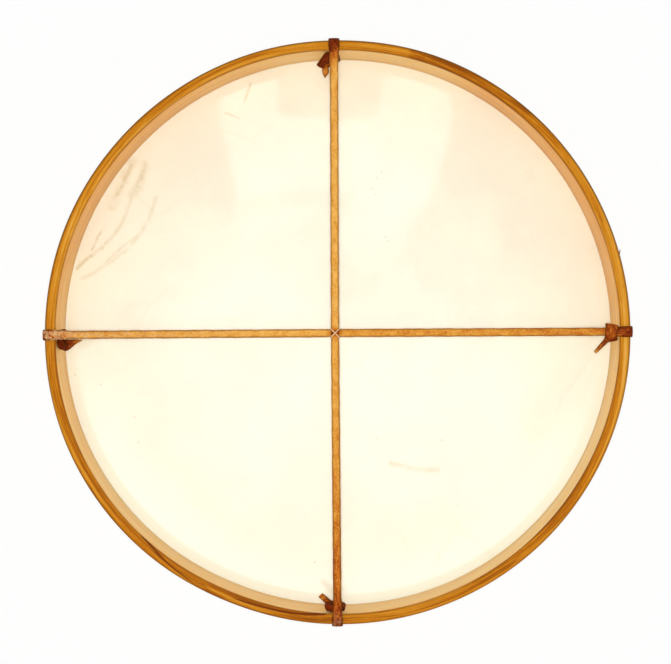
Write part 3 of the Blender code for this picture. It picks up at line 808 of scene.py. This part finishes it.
bottomEnd = {
    "angle": laceAngles["bottom"], "knotOffset": -0.0019, "hand": 1,
    "tail": [(8.2, -1.6, 17, 1, 1.7, 0.4), (8.4, -5.6, 15.6, 1.6, 1.5, 0.2),
             (9.4, -8.2, 14.6, 1.7, 1.9, 0), (12.3, -11.3, 13.4, 1.7, 1.9, 0),
             (15.3, -14.6, 12.6, 1.6, 1.8, 0)],
    "tones": [0.45, 0.14, 0.28, 0.52, 0.66, 0.72, 0.78, 0.85, 0.90, 0.82, 0.55, 0.46],
    "wear": [0, 0, 0, 0, 0, 0.1, 0.25, 0.3, 0, 0, 0, 0],
}
rightEnd = {
    "angle": laceAngles["right"],
    "tail": [(3.6, -3.6, 19, 1.4, 1.3, 0.8), (5.6, -7, 13, 3.4, -0.4, 0.4), (7, -7.6, 8, 4.8, -0.8, 0.3),
             (7.4, -4.4, 4.2, 4.6, 0.2, 0), (7.8, -0.4, 2.9, 4.8, 0.2, 0), (8, 4.2, 2.3, 5.2, 0.6, 0),
             (8, 5.8, -0.6, 5.8, 1.1, 0), (8.2, 4.4, -3.6, 5.7, 0.6, 0), (8.8, 0, -4.2, 5.4, 0.1, 0),
             (10.4, -4.9, -3.7, 4.2, 0.6, 0), (12.6, -7.2, -1, 2.3, 0.9, 0.5),
             (14.5, -9.6, 2.2, 1.5, 1.3, 0.6), (17.2, -12.8, 4.6, 1.4, 1.35, 0.1),
             (21.8, -17.8, 5.4, 0.95, 1, 0)],
    "tones": [0.70, 0.24, 0.26, 0.36, 0.70, 0.70, 0.80, 0.85, 0.98, 0.70, 0.48, 0.10], "bandTone": 0.68,
}
# the upright lace's top knot is slipped: a bight of the lace stands out of it, folded back
topBight = {
    "rows": [(4, 3.2, 5.6, -3, 1.6, 0), (5.7, 6.4, 7.2, -3.8, 1.7, 0), (9.3, 9.7, 8.9, -2.7, 2.2, 0),
             (11.9, 11.9, 9.5, -1.7, 2.55, 0), (12.7, 12.5, 10.5, -1.55, 2.6, 0),
             (11.8, 11.8, 11.6, -1.7, 2.5, 0), (8.8, 9.2, 12.2, -2, 2.4, 0),
             (3.4, 4.4, 12.6, -2.4, 2.4, 0)],
    "tone": 0.97, "grainFrom": 0.4,
}


def endAxes(end):
    turn = math.radians(end["angle"])
    outward = np.array([math.cos(turn), math.sin(turn), 0.0])
    return outward, np.array([-math.sin(turn), math.cos(turn), 0.0])


def acrossEnd(end, inward, along, drop):
    outward, sideways = endAxes(end)
    return along * sideways - inward * outward - np.array([0, 0, drop])


def endPlace(end, inward, along, drop):
    wall = hoopSizes["radius"] + hoopSwell(end["angle"]) - hoopSizes["wall"]
    outward, sideways = endAxes(end)
    return (wall - inward) * outward + along * sideways + np.array([0, 0, backEdge - drop])


def endRows(end, rows):
    return np.array([[*endPlace(end, *row[:3]), *acrossEnd(end, *row[3:])] for row in np.divide(rows, 1000)])


def distanceAlong(rows):
    return np.concatenate([[0], np.cumsum(np.linalg.norm(np.diff(rows[:, :3], axis=0), axis=1))])


def smoothRoute(rows, step):
    # a smooth curve through the rows, read at an even step; columns past the third go along
    rows = np.asarray(rows, float)
    padded = np.vstack([2 * rows[0] - rows[1], rows, 2 * rows[-1] - rows[-2]])
    times = np.concatenate([[0], np.cumsum(np.linalg.norm(np.diff(padded[:, :3], axis=0), axis=1) ** 0.5)])
    fine = [rows[0]]
    for k in range(1, len(padded) - 2):
        knots = times[k - 1:k + 3]
        for time in np.linspace(knots[1], knots[2], 17)[1:]:
            level = padded[k - 1:k + 3]
            for spans in (((0, 1), (1, 2), (2, 3)), ((0, 2), (1, 3)), ((1, 2),)):
                level = [((knots[b] - time) * level[n] + (time - knots[a]) * level[n + 1])
                         / (knots[b] - knots[a]) for n, (a, b) in enumerate(spans)]
            fine.append(level[0])
    fine = np.array(fine)
    along = distanceAlong(fine)
    even = np.linspace(0, along[-1], max(2, round(along[-1] / step)) + 1)
    return np.stack([np.interp(even, along, column) for column in fine.T], axis=1)


def spanRows(end, level):
    start = np.array([*laceSizes["crossing"], laceLevel + level])
    stop = endPlace(end, 0, 0, backEdge - laceLevel)
    return np.array([start + share * (stop - start) for share in np.linspace(0, 1, laceSizes["spanSteps"])])


def wrapRows(end):
    # over the back edge, down the outside and into the hole
    sizes, rounding = laceSizes, hoopSizes["backOutside"]
    flatEnd, outside = rounding - hoopSizes["wall"], -hoopSizes["wall"] - sizes["fit"]
    bend = rounding + sizes["fit"] + sizes["rimThickness"] / 2
    rows = [(inward, backEdge - laceLevel) for inward in np.linspace(0, flatEnd, 6)[1:-1]]
    for turn in np.radians(np.linspace(-90, -180, 10)):
        rows.append((flatEnd + bend * math.cos(turn), rounding + bend * math.sin(turn)))
    holeTop = hoopSizes["holeDrop"] - sizes["holeBend"]
    for share in np.linspace(0, 1, 11):
        thickness = sizes["rimThickness"] + share * (sizes["gatheredThickness"] - sizes["rimThickness"])
        rows.append((outside - thickness / 2, holeTop - (1 - share) * sizes["gathersOver"]))
    bend = sizes["holeBend"]
    middle = outside - sizes["gatheredThickness"] / 2 + bend
    for turn in np.radians(np.linspace(180, 90, holeSteps + 1))[1:]:
        rows.append((middle + bend * math.cos(turn), holeTop + bend * math.sin(turn)))
    return np.array([endPlace(end, inward, 0, drop) for inward, drop in rows])


def knotRows(end):
    # an overhand knot: the strip lies flat on a torus that stands against the wall
    sizes, hand = laceSizes, end["hand"]
    places, faces, widths = [], [], []
    tube = sizes["knotTube"] * end.get("knotScale", 1.0)
    for share in np.linspace(360 - sizes["knotEntry"], sizes["knotExit"], 64):
        twist = math.radians(3 * share)
        turn = math.radians(2 * share + sizes["knotTurn"])
        ring = tube * (sizes["knotRing"] + math.cos(twist))
        inward = sizes["knotStandsOff"] + sizes["knotReach"] * tube * math.sin(twist)
        along = end["knotOffset"] + hand * ring * math.cos(turn)
        places.append(endPlace(end, inward, along, sizes["knotDrop"] - ring * math.sin(turn)))
        faces.append(acrossEnd(end, math.sin(twist), hand * math.cos(twist) * math.cos(turn),
                               -math.cos(twist) * math.sin(turn)))
        widths.append(sizes["knotWidth"] + sizes["knotSwell"] * math.cos(twist))
    across = unitRows(np.cross(np.gradient(np.array(places), axis=0), np.array(faces)))
    return np.hstack([np.array(places), across * np.array(widths)[:, None] / 2])


def keepSides(rows):
    # the strip's two edges never change places
    across = rows[:, 3:6]
    for k in range(1, len(rows)):
        if np.dot(across[k - 1], across[k]) < 0:
            across[k] *= -1
    return rows


def tieRows(end):
    drop, half = 1000 * hoopSizes["holeDrop"], 500 * laceSizes["gatheredWidth"]
    before = endRows(end, [(inward, 0, drop, 0, half, 0) for inward in (-500 * hoopSizes["wall"], 0, 1.5)])
    tail = endRows(end, end["tail"])
    knotted = "knotOffset" in end
    rows = np.vstack([before, knotRows(end), tail] if knotted else [before, tail])
    freeTail = tail if knotted else tail[-4:]
    return smoothRoute(keepSides(rows), laceSizes["step"]), distanceAlong(freeTail)[-1]


def laceHalf(end, level):
    # from the crossing to the tip of one tail: place, half width across, thickness, tone, wear and run
    def sizesOf(*keys):
        return [laceSizes[key] for key in keys]

    span, wrap = spanRows(end, level), wrapRows(end)
    tie, tailLength = tieRows(end)
    points = np.vstack([span, wrap, tie[:, :3]])
    along = distanceAlong(points)
    atTie = len(span) + len(wrap)
    atRim, atHole, atTail = along[len(span) - 1], along[atTie - 1 - holeSteps], along[-1] - tailLength
    atMouth, atKnot = along[atTie] + hoopSizes["wall"] / 2, along[atTie] + 0.012
    stations = [0, atRim - laceSizes["flattensOver"], atRim, atRim + 0.004, atHole - laceSizes["gathersOver"],
                atHole]
    width = np.interp(along, stations, sizesOf("width", "width", "edgeWidth", "rimWidth", "rimWidth",
                                               "gatheredWidth"))
    width *= 1 - laceSizes["pinch"] * np.exp(-(along / laceSizes["pinchReach"]) ** 2)
    across = width[:, None] / 2 * endAxes(end)[1]
    across[atTie:] = tie[:, 3:]
    thickness = np.interp(
        along, [*stations, atMouth, atMouth + 0.005, atTail, atTail + tailLength / 3],
        sizesOf("thickness", "thickness", "rimThickness", "rimThickness", "rimThickness", "gatheredThickness",
                "gatheredThickness", "knotThickness", "knotThickness", "tailThickness"))
    # the stations of the tones and of the wear; the first two hold the painted shade at the crossing
    toneAt = [0, 0.006, atRim / 2, atRim - 0.015, atRim - 0.004, atRim + 0.001, atRim + 0.010, atHole, atKnot,
              atTail, atTail + tailLength * 0.72, along[-1]]
    tone = np.interp(along, toneAt, end["tones"])
    if "bandTone" in end:
        band = np.interp(along, [atKnot + 0.010, atKnot + 0.020], [0, 1]) * (along < atTail)
        tone = tone + band * (end["bandTone"] - tone)
    wear = np.interp(along, toneAt, end.get("wear", np.zeros(len(toneAt))))
    return np.column_stack([points, across, thickness, tone, wear, along])


def makeStrip(name, rows):
    points, across = rows[:, :3], rows[:, 3:6]
    thickness, tone, wear, along = rows[:, 6:].T
    uneven = sum(size * np.sin(along * rate + phase) for size, rate, phase in laceSizes["uneven"])
    across = across * (1 + uneven)[:, None]
    faces = unitRows(np.cross(np.gradient(points, axis=0), across))
    turns = 2 * np.pi * (np.arange(laceSizes["corners"]) + 0.5) / laceSizes["corners"]
    side, up = [np.sign(wave) * np.abs(wave) ** (2 / laceSizes["fullness"])
                for wave in (np.cos(turns), np.sin(turns))]
    strip = addStrip(name, points[:, None] + side[None, :, None] * across[:, None]
                     + (thickness / 2)[:, None, None] * up[None, :, None] * faces[:, None])
    width = np.linalg.norm(across, axis=1)
    run = np.stack([np.repeat(along[:, None], len(side), axis=1), side * width[:, None],
                    up * thickness[:, None] / 2], axis=2)
    storeValues(strip, "laceRun", run.reshape(-1, 3))
    storeValues(strip, "laceEdge", (width[:, None] * (1 - np.abs(side))).ravel())
    for layer, values in (("laceTone", tone), ("laceWear", wear)):
        storeValues(strip, layer, np.repeat(values, len(side)))
    return strip


def addStrip(name, rings):
    stations, corners = rings.shape[:2]
    faces = [tuple(range(corners))[::-1], tuple(range((stations - 1) * corners, stations * corners))]
    for k in range(0, (stations - 1) * corners, corners):
        for c in range(corners):
            beside = (c + 1) % corners
            faces.append((k + c, k + beside, k + corners + beside, k + corners + c))
    mesh = bpy.data.meshes.new(name)
    mesh.from_pydata(rings.reshape(-1, 3).tolist(), [], faces)
    strip = bpy.data.objects.new(name, mesh)
    bpy.context.collection.objects.link(strip)
    pickPiece(strip)
    editAll()
    turnOutward()
    return strip


def tieLace(name, firstEnd, secondEnd, level):
    first, second = laceHalf(firstEnd, level), laceHalf(secondEnd, level)
    first[:, -1] *= -1
    rows = keepSides(np.vstack([first[:0:-1], second]))
    print(f"{name} is {1000 * (rows[-1, -1] - rows[0, -1]):.0f} mm long")
    return makeStrip(name, rows)


def addBight(lace, end, bight):
    rows = smoothRoute(endRows(end, bight["rows"]), laceSizes["step"] / 2)
    even = [np.full(len(rows), value) for value in (laceSizes["tailThickness"], bight["tone"], 0.0)]
    loop = makeStrip("bight", np.column_stack([rows, *even, bight["grainFrom"] + distanceAlong(rows)]))
    pickPiece(lace, loop)
    bpy.ops.object.join()


leatherLook = {
    "tones": [(0.0, (240, 208, 150)), (0.28, (238, 180, 90)), (0.45, (220, 152, 58)), (0.62, (190, 100, 26)),
              (0.80, (130, 48, 10)), (1.0, (88, 24, 2))],
    "edge": (92, 42, 4), "paleEdge": (158, 104, 42), "pore": (120, 56, 8), "worn": (218, 172, 116),
    "scratch": (238, 198, 142), "roughness": (0.42, 0.62), "shine": 0.06, "relief": (0.45, 0.00025),
    # noise, drawn out along the strip
    "blotches": (90.0, 190.0, 190.0), "cracks": (420.0, 800.0, 800.0), "fine": (1800.0, 1800.0, 1800.0),
    "speckles": (330.0, 470.0, 470.0), "pits": (520.0, 700.0, 700.0), "scratches": (260.0, 560.0, 560.0),
    "edgeShadeFade": (0.0020, 0.0005), "edgeShadeShare": 0.85, "scratchShare": 0.8,
}


def makeLeather(name):
    look = leatherLook
    finish, tree, shader = newFinish(name)
    run = readLayer(tree, "laceRun", "Vector")
    tone, wear, fromEdge = [readLayer(tree, layer) for layer in ("laceTone", "laceWear", "laceEdge")]
    blotch = mottle(run, look["blotches"], 3.0, 0.6)
    cracks = mottle(run, look["cracks"], 4.0, 0.7)
    fine = mottle(run, look["fine"], 3.0, 0.6)
    # the dark ends are the more cracked
    dark = larger(stepBetween(tone, 0.22, 0.66), wear * 0.9)
    tone = tone + (blotch - 0.5) * 0.7 + (cracks - 0.5) * (dark * 0.7 + 0.8)
    colour = toneRamp((tone + 0.40) / 1.40, look["tones"])
    speckle = mottle(run, look["speckles"], 2.0, 0.6)
    colour = mixColour(wear * stepBetween(speckle, 0.47, 0.56), colour, look["worn"])
    # painted shade: the strip darkens along both edges, where its rounded sides turn away from the light
    edge = stepBetween(fromEdge, *look["edgeShadeFade"]) * stepBetween(blotch, 0.0, 0.50)
    edgeShadeColour = mixColour(dark, look["paleEdge"], look["edge"])
    colour = mixColour(edge * look["edgeShadeShare"], colour, edgeShadeColour)
    pits = addNode(tree, "TexVoronoi", {"Vector": stretched(run, look["pits"]), "Scale": 1.0}, "Distance")
    pores = stepBetween(pits, 0.42, 0.12) * stepBetween(cracks, 0.40, 0.56) * (dark * 0.5 + 0.3)
    colour = mixColour(pores, colour, look["pore"])
    # pale scratches where the lace has rubbed
    scratches = stepBetween(mottle(run, look["scratches"], 4.0, 0.75), 0.48, 0.60) * wear
    colour = mixColour(scratches * look["scratchShare"], colour, look["scratch"])
    fillSockets(shader, {
        "Base Color": colour, "Roughness": rescaled(cracks, (0, 1), look["roughness"]),
        "Specular IOR Level": look["shine"],
        "Normal": raised(cracks + fine * 0.4 - pores, *look["relief"]),
    })
    return finish


crossLace = tieLace("crossLace", leftEnd, rightEnd, -stepOver)
putOnDrum(crossLace, makeLeather("crossLeather"), "lace_horizontal")
uprightLace = tieLace("uprightLace", bottomEnd, topEnd, stepOver)
addBight(uprightLace, topEnd, topBight)
putOnDrum(uprightLace, makeLeather("uprightLeather"), "lace_vertical")
for lace in (crossLace, uprightLace):
    smoothFaces(lace, laceSizes["smooth"])
print("laces are tied")


# the thread that binds the crossing, its ends half-knotted under the left arm
threadSizes = {"thick": 0.0010, "slack": 0.0006, "knot": 0.0050, "step": 0.00035, "plyTurn": 0.0026,
               "ply": 0.15, "corners": 14, "smooth": 60}


def threadRoute():
    thick = threadSizes["thick"]
    edge = laceSizes["width"] / 2 * (1 - laceSizes["pinch"]) + laceSizes["fit"] / 3
    corner = edge + thick / 2
    upper = laceLevel + stepOver + laceSizes["thickness"] / 2 + laceSizes["fit"] + thick / 2
    crest = upper + thick + threadSizes["slack"]
    lower = laceLevel - stepOver - laceSizes["thickness"] / 2 - laceSizes["fit"] - thick / 2
    twist = (thick + threadSizes["slack"]) / 2
    knotSide, knotLevel = -corner - twist, lower - twist
    freeSide, freeEnd = knotSide - 3 * thick, threadSizes["knot"] / 2 + thick

    def halfKnot(phase):
        strand = []
        for share in np.linspace(-1, 1, 9):
            turn = math.pi * share + phase
            strand.append((knotSide - twist * math.sin(turn), share * threadSizes["knot"] / 2,
                           knotLevel + twist * math.cos(turn)))
        return strand

    # in under the left arm, over to the lower right, under the right arm, over to the lower left
    route = [
        (freeSide, -freeEnd, knotLevel - twist), *halfKnot(0), (-corner, freeEnd, knotLevel - twist),
        (-corner, corner, laceLevel), (-edge, edge, upper), (0, 0, upper), (edge, -edge, upper),
        (corner, -corner, laceLevel), (corner, -edge - thick / 2, lower + thick / 2),
        (corner, thick - edge, lower), (corner, edge - thick, lower),
        (corner, edge + thick / 2, lower + thick / 2), (corner, corner, laceLevel),
        (edge, edge, upper), (0, 0, crest), (-edge, -edge, upper), (-corner, -corner, laceLevel),
        (-corner, -edge - thick / 2, lower + thick / 2), *halfKnot(math.pi),
        (freeSide, freeEnd, knotLevel + twist)]
    return smoothRoute(np.array(route) + np.array([*laceSizes["crossing"], 0]), threadSizes["step"])


def carriedFaces(points, face):
    # a facing that is carried along the thread without twisting
    ahead = unitRows(np.diff(points, axis=0))
    tangents = unitRows(np.vstack([ahead[:1], ahead[:-1] + ahead[1:], ahead[-1:]]))
    faces = []
    for tangent in tangents:
        face = face - np.dot(face, tangent) * tangent
        face = face / np.linalg.norm(face)
        faces.append(face)
    return tangents, np.array(faces)


def twistThread():
    sizes = threadSizes
    points = threadRoute()
    along = distanceAlong(points)
    tangents, faces = carriedFaces(points, np.array([0, 0, 1.0]))
    sides = np.cross(tangents, faces)
    turns = 2 * np.pi * np.arange(sizes["corners"]) / sizes["corners"]
    phase = 2 * np.pi * along / sizes["plyTurn"]
    ply = 1 - sizes["ply"] + sizes["ply"] * np.cos(2 * (turns[None] - phase[:, None]))
    reach = sizes["thick"] / 2 * ply
    rings = (points[:, None] + (reach * np.cos(turns))[..., None] * sides[:, None]
             + (reach * np.sin(turns))[..., None] * faces[:, None])
    thread = addStrip("crossingThread", rings)
    run = np.stack(np.broadcast_arrays(along[:, None], ply, turns), axis=2)
    storeValues(thread, "threadRun", run.reshape(-1, 3))
    smoothFaces(thread, sizes["smooth"])
    print(f"thread is {1000 * along[-1]:.0f} mm long")
    return thread


threadLook = {"grooveShade": (206, 158, 100), "crown": (252, 218, 172), "crownFade": (0.70, 0.95),
              "roughness": 0.7, "shine": 0.3, "hairs": (2600.0, 6.0, 3.0), "relief": (0.4, 0.0001)}


def makeThread():
    look = threadLook
    finish, tree, shader = newFinish("waxedThread")
    run = readLayer(tree, "threadRun", "Vector")
    hairs = mottle(run, look["hairs"])
    # painted shade in the grooves between the plies; the crowns keep the thread's own cream
    share = stepBetween(axisOf(run, "Y"), *look["crownFade"]) + (hairs - 0.5) * 0.6
    fillSockets(shader, {
        "Base Color": mixColour(share, look["grooveShade"], look["crown"]), "Roughness": look["roughness"],
        "Specular IOR Level": look["shine"], "Normal": raised(hairs, *look["relief"]),
    })
    return finish


thread = twistThread()
putOnDrum(thread, makeThread(), "centre_lashing")
print("crossing is lashed")
